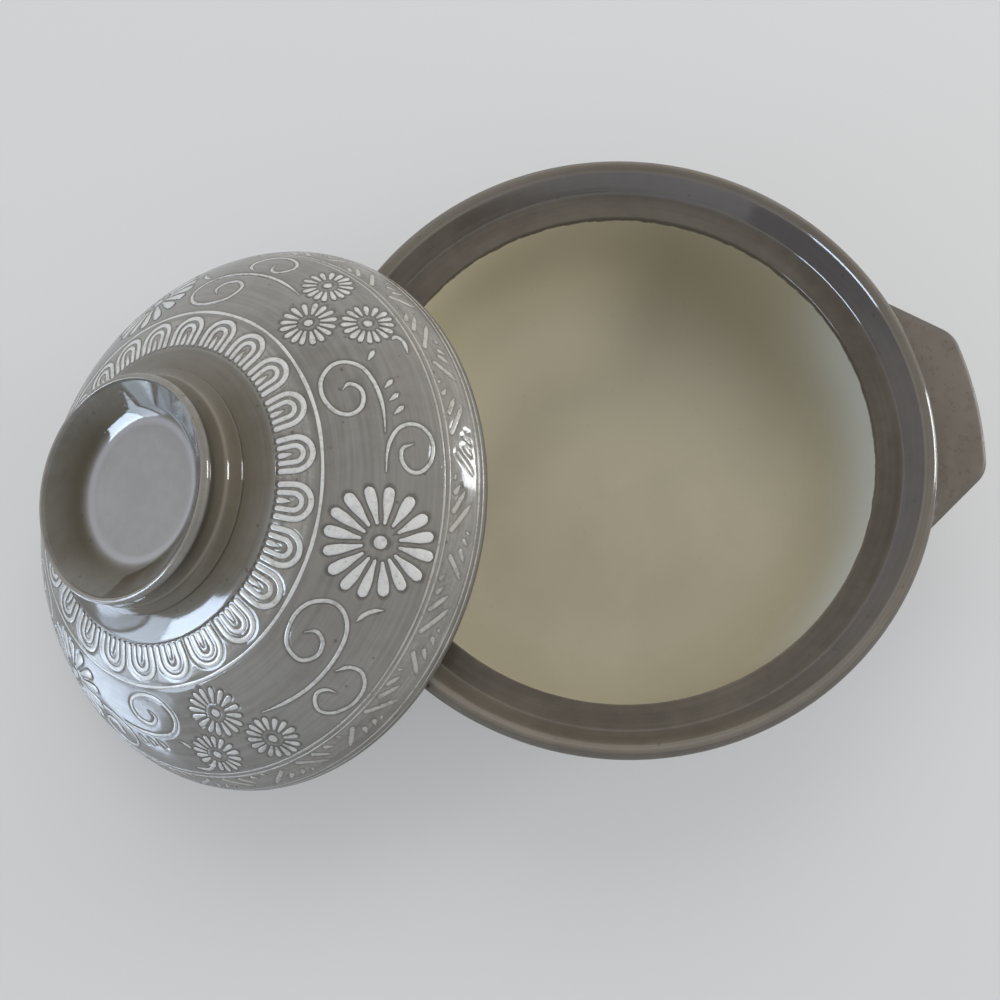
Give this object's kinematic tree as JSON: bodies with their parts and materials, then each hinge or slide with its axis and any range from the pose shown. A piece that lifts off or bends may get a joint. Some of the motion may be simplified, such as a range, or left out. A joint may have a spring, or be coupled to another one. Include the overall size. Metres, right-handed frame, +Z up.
{
  "type": "ceramic casserole dish",
  "caption": "Round glazed stoneware casserole with a lid ledge and two lug handles; its domed lid with a ring knob leans on the rim.",
  "frame": {"origin": "centre of the pot's flat foot, on the plane that it stands on", "axes": "+Z up along the pot's axis, X along the line through both lugs, with the lid leaning on the rim at -X"},
  "size_m": [0.4329, 0.27, 0.1562],
  "materials": {
    "pot_glaze": "glossy dark grey-brown glaze, khaki celadon inside the bowl, bare buff clay under the foot",
    "lug_glaze": "glossy dark grey-brown glaze",
    "lid_glaze": "glossy clear glaze over grey clay with an inlay of white slip",
    "knob_glaze": "glossy clear glaze over grey-brown clay"
  },
  "bodies": {
    "pot": {"pot_body": "pot_glaze", "lug_left": "lug_glaze", "lug_right": "lug_glaze"},
    "lid": {"lid_dome": "lid_glaze", "lid_knob": "knob_glaze"}
  },
  "joints": [
    {"name": "lid_lift", "type": "slide", "parent": "pot", "child": "lid", "axis": [0, 0, 1], "range_m": [0, 0.12]}
  ]
}
